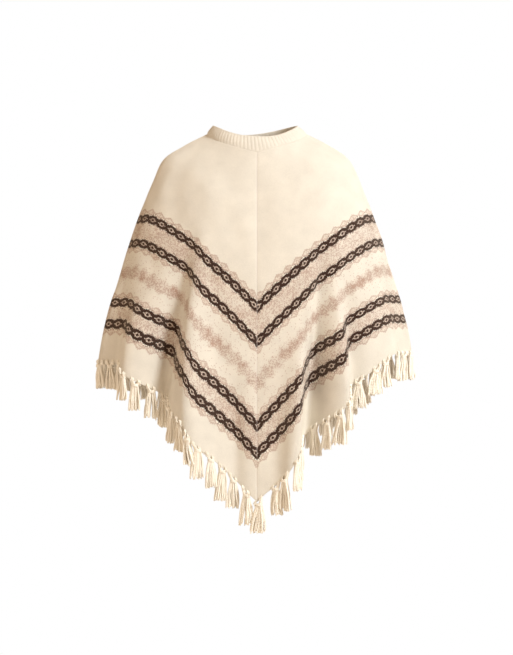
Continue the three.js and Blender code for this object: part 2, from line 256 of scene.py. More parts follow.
def grid_normals(grid, side):
    """Directions out of the cloth. On the mitre they keep to the middle plane."""
    down = np.gradient(grid, axis=0)
    along = np.gradient(grid, axis=1)
    normals = side * np.cross(down, along)
    normals[:, [0, -1], 0] = 0
    return normals / np.linalg.norm(normals, axis=-1, keepdims=True)


def row_lengths(grid):
    """Length along each row of a grid from its first column."""
    steps = np.linalg.norm(np.diff(grid, axis=1), axis=-1)
    return np.concatenate([np.zeros((len(grid), 1)), np.cumsum(steps, axis=1)], axis=1)


# Small helpers for meshes


def add_object(name, points, faces, uv, values=None):
    """A mesh object from points in millimetres, with a UV in metres and named values for each point."""
    mesh = bpy.data.meshes.new(name)
    mesh.from_pydata((np.asarray(points) * MM).tolist(), [], [list(face) for face in faces])
    corner_points = np.zeros(len(mesh.loops), np.int32)
    mesh.loops.foreach_get("vertex_index", corner_points)
    layer = mesh.uv_layers.new(name="knit")
    layer.data.foreach_set("uv", (np.asarray(uv)[corner_points] * MM).astype(np.float32).ravel())
    for key, value in (values or {}).items():
        attribute = mesh.attributes.new(key, "FLOAT", "POINT")
        attribute.data.foreach_set("value", np.asarray(value, np.float32))
    mesh.update()
    piece = bpy.data.objects.new(name, mesh)
    bpy.context.scene.collection.objects.link(piece)
    select_only(piece)
    return piece


def select_only(piece):
    bpy.ops.object.select_all(action="DESELECT")
    piece.select_set(True)
    bpy.context.view_layer.objects.active = piece


def smooth_by_angle(piece, degrees):
    select_only(piece)
    bpy.ops.object.shade_smooth_by_angle(angle=math.radians(degrees))


def grid_quads(ids):
    """Quads of a grid of point numbers, facing the way of rows crossed with columns."""
    quads = np.stack([ids[:-1, :-1], ids[1:, :-1], ids[1:, 1:], ids[:-1, 1:]], axis=-1)
    return quads.reshape(-1, 4)


def shell_faces(row_count, column_count, is_flipped):
    """Faces of a closed wall whose outer points come first and whose inner points follow."""
    count = row_count * column_count
    ids = np.arange(count).reshape(row_count, column_count)
    edge = np.concatenate([ids[:, 0], ids[-1, 1:], ids[-2::-1, -1], ids[0, -2:0:-1]])
    following = np.roll(edge, -1)
    rim = np.stack([following, edge, edge + count, following + count], axis=-1)
    faces = np.concatenate([grid_quads(ids), grid_quads(ids)[:, ::-1] + count, rim])
    return faces[:, ::-1] if is_flipped else faces


def tube_arrays(paths, radii, first, second, sides):
    """Points and faces of round tubes along several paths of equal length, with closed ends."""
    tube_count, ring_count = paths.shape[:2]
    around = 2 * math.pi * np.arange(sides) / sides
    ring = np.cos(around)[:, None] * first + np.sin(around)[:, None] * second
    points = paths[:, :, None, :] + radii[:, :, None, None] * ring
    ids = np.arange(tube_count * ring_count * sides).reshape(tube_count, ring_count, sides)
    wrapped = np.concatenate([ids, ids[:, :, :1]], axis=2)
    faces = [grid_quads(tube) for tube in wrapped]
    ends = [list(tube[0]) for tube in ids] + [list(tube[-1][::-1]) for tube in ids]
    return points.reshape(-1, 3), [list(face) for face in np.concatenate(faces)] + ends


# Shader helpers


def linear(red, green, blue):
    """Scene colour of an sRGB colour given from 0 to 255, by the sRGB curve."""
    def channel(value):
        share = value / 255
        return share / 12.92 if share <= 0.04045 else ((share + 0.055) / 1.055) ** 2.4

    return (channel(red), channel(green), channel(blue), 1)


class Graph:
    """Writes the nodes of one tree as nested calls."""

    def __init__(self, tree):
        self.tree = tree

    def node(self, kind, **settings):
        node = self.tree.nodes.new(kind)
        for key, value in settings.items():
            setattr(node, key, value)
        return node

    def join(self, value, socket):
        if isinstance(value, bpy.types.NodeSocket):
            self.tree.links.new(value, socket)
        else:
            socket.default_value = value

    def math(self, operation, *values):
        node = self.node("ShaderNodeMath", operation=operation)
        for value, socket in zip(values, node.inputs):
            self.join(value, socket)
        return node.outputs[0]

    def add(self, *values):
        return self.math("ADD", *values)

    def subtract(self, *values):
        return self.math("SUBTRACT", *values)

    def multiply(self, *values):
        return self.math("MULTIPLY", *values)

    def maximum(self, *values):
        """The largest of several values."""
        result = values[0]
        for value in values[1:]:
            result = self.math("MAXIMUM", result, value)
        return result

    def below(self, value, limit):
        return self.math("LESS_THAN", value, limit)

    def distance(self, value, middle):
        return self.math("ABSOLUTE", self.subtract(value, middle))

    def folded(self, value, repeat):
        """Distance from the middle of a repeat."""
        return self.distance(self.math("MODULO", value, repeat), repeat / 2)

    def nearest(self, value, middles):
        """Distance from the nearest of several places."""
        result = self.distance(value, middles[0])
        for middle in middles[1:]:
            result = self.math("MINIMUM", result, self.distance(value, middle))
        return result

    def between(self, value, low, high):
        return self.multiply(self.math("GREATER_THAN", value, low), self.below(value, high))

    def mix(self, factor, first, second, blend="MIX"):
        node = self.node("ShaderNodeMix", data_type="RGBA", blend_type=blend)
        for value, index in ((factor, 0), (first, 6), (second, 7)):
            self.join(value, node.inputs[index])
        return node.outputs[2]

    def noise(self, vector, scale, detail=2.0):
        node = self.node("ShaderNodeTexNoise")
        self.join(vector, node.inputs["Vector"])
        node.inputs["Scale"].default_value = scale
        node.inputs["Detail"].default_value = detail
        return node.outputs["Fac"]

    def place(self):
        return self.node("ShaderNodeTexCoord").outputs["Object"]

    def uv(self):
        """The distance along a row or round a strand, and the height on the cloth or length down."""
        separate = self.node("ShaderNodeSeparateXYZ")
        self.join(self.node("ShaderNodeUVMap", uv_map="knit").outputs["UV"], separate.inputs[0])
        return separate.outputs[0], separate.outputs[1]

    def attribute(self, name):
        return self.node("ShaderNodeAttribute", attribute_name=name).outputs["Fac"]

    def group(self, tree, **values):
        node = self.node("ShaderNodeGroup", node_tree=tree)
        for key, value in values.items():
            self.join(value, node.inputs[key.replace("_", " ").capitalize()])
        return node.outputs


def new_group(name, inputs, outputs):
    """A shader node group with the given sockets, its graph, and its inputs and outputs by name."""
    tree = bpy.data.node_groups.new(name, "ShaderNodeTree")
    for direction, sockets in (("INPUT", inputs), ("OUTPUT", outputs)):
        for socket, kind in sockets.items():
            tree.interface.new_socket(socket, in_out=direction, socket_type="NodeSocket" + kind)
    graph = Graph(tree)
    return graph, graph.node("NodeGroupInput").outputs, graph.node("NodeGroupOutput").inputs


# Stitches and yarn, as all the materials show them. A scale counts the patches in a metre.
STITCH_SLANT = 0.45
LOOP_SHARE = 0.6
FIBRE_SCALE = 900.0
FIBRE_SHARE = 0.6
BLOTCH_SCALE = 26.0


def stitch_group():
    """Grid of V-shaped knit stitches: the number of the wale and of the row, and the stitch's height."""
    graph, inputs, outputs = new_group(
        "knit stitches",
        {"Along": "Float", "Up": "Float", "Width": "Float", "Height": "Float"},
        {"Wale": "Float", "Row": "Float", "Relief": "Float"},
    )
    wale = graph.math("DIVIDE", inputs["Along"], inputs["Width"])
    row = graph.math("DIVIDE", inputs["Up"], inputs["Height"])
    from_middle = graph.multiply(graph.distance(graph.math("FRACT", wale), 0.5), 2.0)
    risen = graph.subtract(row, graph.multiply(from_middle, STITCH_SLANT))
    leg = graph.math("SINE", graph.multiply(from_middle, math.pi))
    loop = graph.math("SINE", graph.multiply(graph.math("FRACT", risen), math.pi))
    height = graph.add(graph.multiply(loop, LOOP_SHARE), 1 - LOOP_SHARE)
    graph.join(graph.math("FLOOR", wale), outputs["Wale"])
    graph.join(graph.math("FLOOR", risen), outputs["Row"])
    graph.join(graph.multiply(leg, height), outputs["Relief"])
    return graph.tree


def heather_group():
    """Uneven shade of a spun yarn, in fine fibres and in broad patches."""
    graph, inputs, outputs = new_group(
        "heather",
        {"Color": "Color", "Place": "Vector", "Amount": "Float"},
        {"Color": "Color"},
    )
    fine = graph.noise(inputs["Place"], FIBRE_SCALE)
    broad = graph.noise(inputs["Place"], BLOTCH_SCALE)
    uneven = graph.add(graph.multiply(fine, FIBRE_SHARE), graph.multiply(broad, 1 - FIBRE_SHARE))
    shade = graph.add(graph.multiply(graph.subtract(uneven, 0.5), inputs["Amount"]), 1.0)
    grey = graph.node("ShaderNodeCombineColor")
    for socket in grey.inputs:
        graph.join(shade, socket)
    graph.join(graph.mix(1.0, inputs["Color"], grey.outputs[0], "MULTIPLY"), outputs["Color"])
    return graph.tree


def shared_groups():
    """The node groups that the materials share, made once."""
    names = {"stitches": "knit stitches", "heather": "heather"}
    makers = {"stitches": stitch_group, "heather": heather_group}
    return {key: bpy.data.node_groups.get(name) or makers[key]() for key, name in names.items()}


# Soft matt finish of the yarn
YARN_ROUGHNESS = 0.9
YARN_SPECULAR = 0.2
KNIT_SHEEN = 0.25
FRINGE_SHEEN = 0.3
SHEEN_ROUGHNESS = 0.55
SHEEN_TINT = linear(255, 246, 228)
HEATHER_AMOUNT = 0.5


def new_material(name, sheen):
    """A soft matt yarn material, its graph and its shader."""
    material = bpy.data.materials.new(name)
    material.use_nodes = True
    shader = material.node_tree.nodes["Principled BSDF"]
    shader.inputs["Roughness"].default_value = YARN_ROUGHNESS
    shader.inputs["Specular IOR Level"].default_value = YARN_SPECULAR
    shader.inputs["Sheen Weight"].default_value = sheen
    shader.inputs["Sheen Roughness"].default_value = SHEEN_ROUGHNESS
    shader.inputs["Sheen Tint"].default_value = SHEEN_TINT
    return material, Graph(material.node_tree), shader


def heathered(graph, groups, color):
    """A colour with the uneven shade of the yarn."""
    return graph.group(groups["heather"], color=color, place=graph.place(), amount=HEATHER_AMOUNT)["Color"]


def set_relief(graph, shader, relief, distance):
    """Raises the surface by a relief from 0 to 1, so many metres high."""
    bump = graph.node("ShaderNodeBump")
    bump.inputs["Distance"].default_value = distance
    graph.join(relief, bump.inputs["Height"])
    graph.join(bump.outputs[0], shader.inputs["Normal"])


# Charted pattern of the panels. Middles are heights above the hem in millimetres, the sizes of the
# motifs are in stitches, and a slope is the rows that a motif narrows by in one stitch.
BROWN_MIDDLES = (333.6, 273.0, 126.0, 79.8)
CHAIN_MIDDLES = (350.0, 256.0, 143.0, 62.5)
LOZENGE_MIDDLE = 201.0
DIAMOND_REPEAT = 13
DIAMOND_SLOPE = 0.5
DIAMOND_REACH = 7.0
DIAMOND_HALF_HEIGHT = 5.5
RING_SLOPE = 0.7
RING_SPAN = (1.6, 3.3)
EDGE_REACH = 8.3
CHAIN_SLOPE = 0.6
CHAIN_REACH = 3.4
CHAIN_LINE = 1.0
LOZENGE_SLOPE = 0.7
LOZENGE_REACH = 7.4
CENTRE_REACH = 3.2
BLUR = 3.8

# Shares of yarn in the parts of the pattern
EDGE_FLECKS = 0.5
EDGE_BROWN = 0.36
EDGE_TAUPE = 0.7
RING_TAUPE = 0.45
LINE_TAUPE = 0.6
CHAIN_FILL = 0.5
LOZENGE_FILL = 0.85
CENTRE_PALE = 0.5
GROUND_FILL = 0.58
STRAY_FILL = 0.08
DENSEST = 0.9
PATCH_SCALE = 34.0
PATCH_STRENGTH = 1.9
FLECK_SHARE = 0.7
DENSITY_TAUPE = 0.42
ALONG_OFFSET = 2.0
MITRE_WIDTH = 1.2
MITRE_TAUPE = 0.15


def chart(graph, wale, row, stitch_height):
    """Shares of brown and of taupe yarn in a stitch, from the numbers of its wale and its row."""
    def rows(middle):
        return math.floor(middle * MM / stitch_height)

    def blurred(steps, reach):
        """Share of a motif whose outline thins out over a few stitches."""
        return graph.multiply(graph.subtract(reach + BLUR / 2, steps), 1 / BLUR)

    # Each stitch is flecked at random, and broad patches take more of it
    stitch = graph.node("ShaderNodeCombineXYZ")
    graph.join(wale, stitch.inputs[0])
    graph.join(row, stitch.inputs[1])
    speckle = graph.node("ShaderNodeTexWhiteNoise", noise_dimensions="2D")
    graph.join(stitch.outputs[0], speckle.inputs["Vector"])
    fleck = speckle.outputs["Value"]
    patch = graph.noise(graph.place(), PATCH_SCALE, 1.0)
    # Brown bands: diamonds with a pale ring and a dark heart, joined side by side, with flecked edges
    across = graph.folded(wale, DIAMOND_REPEAT)
    off_band = graph.nearest(row, [rows(middle) for middle in BROWN_MIDDLES])
    steps = graph.add(graph.multiply(across, DIAMOND_SLOPE), off_band)
    band = graph.multiply(graph.below(steps, DIAMOND_REACH), graph.below(off_band, DIAMOND_HALF_HEIGHT))
    ring = graph.between(graph.add(graph.multiply(across, RING_SLOPE), off_band), *RING_SPAN)
    edge = graph.multiply(graph.below(steps, EDGE_REACH), graph.below(fleck, EDGE_FLECKS))
    brown = graph.maximum(graph.subtract(band, ring), graph.multiply(edge, EDGE_BROWN))
    # Chains of taupe outlines, faintly filled, that nest between the diamonds
    nested = graph.folded(graph.add(wale, DIAMOND_REPEAT / 2), DIAMOND_REPEAT)
    off_chain = graph.nearest(row, [rows(middle) for middle in CHAIN_MIDDLES])
    link = graph.add(graph.multiply(nested, CHAIN_SLOPE), off_chain)
    line = graph.below(graph.distance(link, CHAIN_REACH), CHAIN_LINE)
    chain = graph.multiply(blurred(link, CHAIN_REACH), CHAIN_FILL)
    # Broad patchy lozenges with paler centres in the middle
    broad = graph.add(graph.multiply(across, LOZENGE_SLOPE), graph.distance(row, rows(LOZENGE_MIDDLE)))
    centre = graph.multiply(blurred(broad, CENTRE_REACH), CENTRE_PALE)
    lozenge = graph.multiply(graph.subtract(blurred(broad, LOZENGE_REACH), centre), LOZENGE_FILL)
    # Bird's-eye ground between each pair of brown bands
    upper = graph.between(row, rows(BROWN_MIDDLES[1]), rows(BROWN_MIDDLES[0]))
    lower = graph.between(row, rows(BROWN_MIDDLES[3]), rows(BROWN_MIDDLES[2]))
    ground = graph.multiply(graph.add(upper, lower), GROUND_FILL)
    # Cream rows take a few stray flecks
    stray = graph.multiply(graph.between(row, rows(CHAIN_MIDDLES[2]), rows(CHAIN_MIDDLES[1])), STRAY_FILL)
    density = graph.math("MINIMUM", graph.maximum(chain, lozenge, ground, stray), DENSEST)
    density = graph.multiply(density, graph.multiply(patch, PATCH_STRENGTH))
    flecked = graph.add(density, graph.below(fleck, graph.multiply(density, FLECK_SHARE)))
    taupe = graph.maximum(
        graph.multiply(flecked, DENSITY_TAUPE),
        graph.multiply(ring, RING_TAUPE),
        graph.multiply(edge, EDGE_TAUPE),
        graph.multiply(line, LINE_TAUPE),
    )
    return brown, taupe


def knit_stitches(graph, groups, settings):
    """Stitches laid along the rows of a piece, set off so that no wale has a number below 0."""
    along, up = graph.uv()
    return graph.group(
        groups["stitches"],
        along=graph.add(along, ALONG_OFFSET),
        up=up,
        width=settings.stitch_width,
        height=settings.stitch_height,
    )


def panel_material(settings, groups):
    material, graph, shader = new_material("patterned knit", KNIT_SHEEN)
    stitches = knit_stitches(graph, groups, settings)
    brown, taupe = chart(graph, stitches["Wale"], stitches["Row"], settings.stitch_height)
    color = graph.mix(taupe, tuple(settings.cream), tuple(settings.taupe))
    color = graph.mix(brown, color, tuple(settings.brown))
    mitre = graph.below(graph.attribute("mitre"), MITRE_WIDTH * MM)
    color = graph.mix(graph.multiply(mitre, MITRE_TAUPE), color, tuple(settings.taupe))
    graph.join(heathered(graph, groups, color), shader.inputs["Base Color"])
    set_relief(graph, shader, stitches["Relief"], settings.stitch_relief)
    return material


def rib_material(settings, groups):
    material, graph, shader = new_material("ribbed knit", KNIT_SHEEN)
    stitches = knit_stitches(graph, groups, settings)
    graph.join(heathered(graph, groups, tuple(settings.cream)), shader.inputs["Base Color"])
    set_relief(graph, shader, stitches["Relief"], settings.stitch_relief)
    return material


STRAND_TINT = linear(190, 160, 128)
STRAND_TINT_SHARE = 0.08


def yarn_material(settings, groups):
    """Plied yarn, a little different in each strand."""
    material, graph, shader = new_material("fringe yarn", FRINGE_SHEEN)
    around, down = graph.uv()
    turn = graph.add(graph.multiply(around, 1 / MM), graph.math("DIVIDE", down, settings.ply_length))
    ply = graph.math("ABSOLUTE", graph.math("SINE", graph.multiply(turn, math.pi)))
    tint = graph.multiply(graph.attribute("strand"), STRAND_TINT_SHARE)
    color = graph.mix(tint, heathered(graph, groups, tuple(settings.yarn)), STRAND_TINT)
    graph.join(color, shader.inputs["Base Color"])
    set_relief(graph, shader, ply, settings.ply_relief)
    return material


# Sizes and colours that a user would change


class PonchoKnitSettings(bpy.types.PropertyGroup):
    wall: FloatProperty(name="Wall", description="Thickness of the knit", default=0.0026, unit="LENGTH")
    stitch_width: FloatProperty(
        name="Stitch width", description="Width of a wale", default=0.00215, unit="LENGTH"
    )
    stitch_height: FloatProperty(
        name="Stitch height", description="Height of a row", default=0.0019, unit="LENGTH"
    )
    stitch_relief: FloatProperty(
        name="Stitch relief", description="How far a stitch stands out", default=0.0005, unit="LENGTH"
    )
    crease_scale: FloatProperty(
        name="Creases", description="Depth of the soft creases", default=1.0, subtype="FACTOR", min=0, max=2
    )
    columns: IntProperty(name="Columns", description="Columns of a panel's mesh", default=290)
    rows: IntProperty(name="Rows", description="Rows of a panel's mesh", default=150)
    cream: FloatVectorProperty(
        name="Cream", description="Ground colour", size=4, subtype="COLOR", default=linear(244, 238, 225)
    )
    taupe: FloatVectorProperty(
        name="Taupe", description="Colour of the pale pattern yarn", size=4, subtype="COLOR",
        default=linear(186, 150, 132),
    )
    brown: FloatVectorProperty(
        name="Brown", description="Colour of the dark pattern yarn", size=4, subtype="COLOR",
        default=linear(56, 33, 25),
    )


class PonchoNeckbandSettings(bpy.types.PropertyGroup):
    ribs: IntProperty(name="Ribs", description="Ribs round the neck", default=80)
    rib_height: FloatProperty(
        name="Rib height", description="How far a rib stands out", default=0.0007, unit="LENGTH"
    )
    bulge: FloatProperty(name="Bulge", description="Roundness of the band", default=0.0015, unit="LENGTH")


class PonchoFringeSettings(bpy.types.PropertyGroup):
    pitch: FloatProperty(
        name="Pitch", description="Distance between tassels", default=0.038, unit="LENGTH"
    )
    length: FloatProperty(
        name="Length", description="Length of a tassel at the front", default=0.068, unit="LENGTH"
    )
    strands: IntProperty(name="Strands", description="Strands of a tassel", default=24)
    strand_radius: FloatProperty(
        name="Strand radius", description="Radius of a strand", default=0.0018, unit="LENGTH"
    )
    ply_length: FloatProperty(
        name="Ply length", description="Length of a yarn's twist", default=0.006, unit="LENGTH"
    )
    ply_relief: FloatProperty(
        name="Ply relief", description="Depth of the twist", default=0.00025, unit="LENGTH"
    )
    yarn: FloatVectorProperty(
        name="Yarn", description="Colour of the fringe", size=4, subtype="COLOR",
        default=linear(255, 250, 238),
    )


class PonchoStageSettings(bpy.types.PropertyGroup):
    camera_distance: FloatProperty(
        name="Camera distance", description="From the origin", default=4.0, unit="LENGTH"
    )
    floor_height: FloatProperty(
        name="Floor", description="Height of the floor", default=-1.3, unit="LENGTH"
    )
    key_power: FloatProperty(
        name="Key light", description="Power of the main light, towards the wearer's left",
        default=133.0, unit="POWER",
    )
    fill_power: FloatProperty(
        name="Fill light", description="Power of the warm light, towards the wearer's right",
        default=17.0, unit="POWER",
    )
    back_power: FloatProperty(
        name="Back light", description="Power of the light behind", default=50.0, unit="POWER"
    )
    ambient: FloatProperty(name="Ambient", description="Strength of the light all round", default=0.48)


# Stage

PHOTO_WIDTH = 513
PHOTO_HEIGHT = 655
PIXEL = 2.25  # mm of the object for each pixel of the photograph
CENTRE_FRONT_PX = 257
ORIGIN_PY = 139
SENSOR_HEIGHT = 24.0
CAMERA_REACH = 100.0
FLOOR_SIZE = 60
FLOOR_COLOR = linear(220, 214, 206)
WHITE = (1, 1, 1, 1)
AMBIENT_COLOR = (1.0, 0.73, 0.50, 1)

# A round light: its place and its width in metres, and its colour. All lights face the target.
Lamp = namedtuple("Lamp", "name place width color")
LAMPS = [
    Lamp("key", (2.25, -2.05, 1.75), 1.0, (0.945, 0.98, 1.0)),
    Lamp("fill", (-2.6, -1.2, 0.2), 2.0, (1.0, 0.86, 0.7)),
    Lamp("back", (0.7, 2.6, 0.7), 1.5, (0.97, 0.985, 1.0)),
]
LAMP_TARGET = (0, 0, -0.4)


class PONCHO_OT_stage(bpy.types.Operator):
    """Add the floor, the soft studio lights and the camera"""

    bl_idname = "poncho.stage"
    bl_label = "Stage"

    def execute(self, context):
        settings = context.scene.poncho_stage
        self.add_camera(context, settings)
        self.add_floor(settings)
        self.add_world(context, settings)
        for lamp in LAMPS:
            self.add_light(context, lamp, getattr(settings, lamp.name + "_power"))
        return {"FINISHED"}

    def add_camera(self, context, settings):
        data = bpy.data.cameras.new("camera")
        data.sensor_fit = "VERTICAL"
        data.sensor_height = SENSOR_HEIGHT
        data.lens = SENSOR_HEIGHT * settings.camera_distance / (PHOTO_HEIGHT * PIXEL * MM)
        data.clip_end = CAMERA_REACH
        camera = bpy.data.objects.new("camera", data)
        x = (PHOTO_WIDTH / 2 - CENTRE_FRONT_PX) * PIXEL * MM
        z = (ORIGIN_PY - PHOTO_HEIGHT / 2) * PIXEL * MM
        camera.location = (x, -settings.camera_distance, z)
        camera.rotation_euler = (math.radians(90), 0, 0)
        context.scene.collection.objects.link(camera)
        context.scene.camera = camera

    def camera_mix(self, graph, other, seen, output):
        """What the camera sees, with another shader for the light that falls on the object."""
        mix = graph.node("ShaderNodeMixShader")
        graph.join(graph.node("ShaderNodeLightPath").outputs["Is Camera Ray"], mix.inputs[0])
        graph.join(other.outputs[0], mix.inputs[1])
        graph.join(seen.outputs[0], mix.inputs[2])
        graph.join(mix.outputs[0], graph.tree.nodes[output].inputs["Surface"])

    def add_floor(self, settings):
        """A floor that looks white to the camera and sends a little light up."""
        bpy.ops.object.select_all(action="DESELECT")
        bpy.ops.mesh.primitive_plane_add(size=FLOOR_SIZE, location=(0, 0, settings.floor_height))
        floor = bpy.context.object
        floor.name = "studio_floor"
        material = bpy.data.materials.new("studio floor")
        material.use_nodes = True
        graph = Graph(material.node_tree)
        graph.tree.nodes.remove(graph.tree.nodes["Principled BSDF"])
        diffuse = graph.node("ShaderNodeBsdfDiffuse")
        diffuse.inputs["Color"].default_value = FLOOR_COLOR
        self.camera_mix(graph, diffuse, graph.node("ShaderNodeEmission"), "Material Output")
        floor.data.materials.append(material)

    def add_world(self, context, settings):
        """White behind the object, and a warmer, weaker light on it from all round."""
        world = bpy.data.worlds.new("studio")
        context.scene.world = world
        world.use_nodes = True
        graph = Graph(world.node_tree)
        white = graph.tree.nodes["Background"]
        white.inputs["Color"].default_value = WHITE
        soft = graph.node("ShaderNodeBackground")
        soft.inputs["Color"].default_value = AMBIENT_COLOR
        soft.inputs["Strength"].default_value = settings.ambient
        self.camera_mix(graph, soft, white, "World Output")

    def add_light(self, context, lamp, power):
        data = bpy.data.lights.new(lamp.name + " light", "AREA")
        data.color = lamp.color
        data.shape = "DISK"
        data.size = lamp.width
        data.energy = power
        light = bpy.data.objects.new(lamp.name + " light", data)
        light.location = lamp.place
        x, y, z = np.array(LAMP_TARGET) - np.array(lamp.place)
        light.rotation_euler = (math.atan2(math.hypot(x, y), -z), 0, math.atan2(y, x) - math.pi / 2)
        context.scene.collection.objects.link(light)


# Panels, in millimetres. The fine turns are columns close to the seams, in degrees, and edges stay
# sharp past an angle whose name ends in SHARP, here and on the other pieces.

FINE_TURNS = (0.16, 0.34)
MITRE_DEPTH = 0.6
MITRE_SOFTNESS = 2.6
PUCKER_DEPTH = 0.35
PUCKER_LENGTH = 17.0
PUCKER_SOFTNESS = 9.0
WAVE_DEPTH = 0.7
WAVE_GROWTH = 4
HEM_ROUND = 0.25
PANEL_SHARP = 50

# A slight waviness that no knit is without: one wave times another that crosses it, each with its
# turns for a degree and for the whole height of the cloth, in radians.
Wave = namedtuple("Wave", "share angle row start cross_angle cross_row")
WAVES = [
    Wave(1.0, 0.21, 9, 1.3, 0.13, -21),
    Wave(0.6, 0.37, -14, 0.6, 0.09, 31),
]


def panel_turns(columns):
    even = np.linspace(0, 180, columns)
    near_seams = [turn for fine in FINE_TURNS for turn in (fine, 180 - fine)]
    return np.unique(np.concatenate([even, [90], near_seams]))


def crease_relief(angle, rows):
    """Soft creases and a slight waviness, which fades towards the neck."""
    relief = np.zeros(np.broadcast(angle, rows).shape)
    for crease in CREASES:
        share = (rows - crease.top) / (crease.bottom - crease.top)
        turn = turn_between(angle, crease.at + crease.lean * share)
        strength = np.clip(4 * share * (1 - share), 0, 1)
        relief += crease.depth * np.exp(-((turn / crease.width) ** 2)) * smoothstep(strength)
    waviness = 0
    for wave in WAVES:
        crossing = np.sin(wave.cross_angle * angle + wave.cross_row * rows)
        waviness += wave.share * np.sin(wave.angle * angle + wave.row * rows + wave.start) * crossing
    return relief + WAVE_DEPTH * waviness * smoothstep(rows * WAVE_GROWTH)


def panel_surface(side, turns, rows, crease_scale):
    """Outer face of a panel with its creases, its normals, the lengths along its rows and the
    distances from its nearer seam."""
    base = cloth_grid(side, turns, rows)
    normals = grid_normals(base, side)
    lengths = row_lengths(base)
    from_seam = np.minimum(lengths, lengths[:, -1:] - lengths)
    relief = crease_scale * crease_relief(side * turns[None, :], rows[:, None])
    pucker = np.sin(2 * math.pi * rows * ROW_LENGTH / PUCKER_LENGTH)[:, None]
    relief += PUCKER_DEPTH * pucker * np.exp(-((from_seam / PUCKER_SOFTNESS) ** 2))
    relief -= MITRE_DEPTH * np.exp(-((from_seam / MITRE_SOFTNESS) ** 2))
    surface = base + normals * relief[..., None]
    surface[..., 0] += side * SEAM_GAP / 2
    return surface, grid_normals(surface, side), lengths, from_seam


class PONCHO_OT_panels(bpy.types.Operator):
    """Add the two knitted panels"""

    bl_idname = "poncho.panels"
    bl_label = "Panels"

    def execute(self, context):
        settings = context.scene.poncho_knit
        material = panel_material(settings, shared_groups())
        for name, side in (("panel_left", LEFT), ("panel_right", RIGHT)):
            piece = self.add_panel(name, side, settings)
            piece.data.materials.append(material)
            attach(piece, "root")
            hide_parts(name)
        return {"FINISHED"}

    def add_panel(self, name, side, settings):
        turns = panel_turns(settings.columns)
        rows = np.linspace(0, 1, settings.rows)
        outer, normals, lengths, from_seam = panel_surface(side, turns, rows, settings.crease_scale)
        wall = settings.wall / MM
        inner = outer - normals * wall
        # The hem's edge is thinner than the wall, not cut square
        outer[-1] -= normals[-1] * HEM_ROUND * wall
        inner[-1] += normals[-1] * HEM_ROUND * wall
        side_column = np.argmin(np.abs(turns - 90))
        along = lengths - lengths[:, [side_column]]
        up = np.broadcast_to(((1 - rows) * ROW_LENGTH)[:, None], along.shape)
        uv = np.stack([along, up], axis=-1).reshape(-1, 2)
        faces = shell_faces(len(rows), len(turns), side == RIGHT)
        piece = add_object(
            name + "_knit",
            np.concatenate([outer.reshape(-1, 3), inner.reshape(-1, 3)]),
            faces,
            np.concatenate([uv, uv]),
            {"mitre": np.tile(from_seam.ravel() * MM, 2)},
        )
        smooth_by_angle(piece, PANEL_SHARP)
        return piece


# Neckband, in millimetres. Its rim is its upper edge, and its ribs start low at the neck seam, stand
# out in full above it and show less inside.

RIM_SIDE = 96
RIM_SIDE_Z = 28
RIM_FRONT = 78
RIM_FRONT_Z = -3
RIM_BACK = 66
RIM_BACK_Z = 16
RIM_SHIFT = -4
RIM_SLANT = 10
BAND_HEIGHT = 26.0
BAND_SHARP = 60
BAND_ROWS = 12
EDGE_ROWS = 5
EDGE_RISE = 0.55
EDGE_SHARE = 0.1
COLUMNS_PER_RIB = 10
RIB_WIDEN = 1.15
RIB_START = 0.35
RIB_GROWTH = 3
INNER_RIB = 0.3


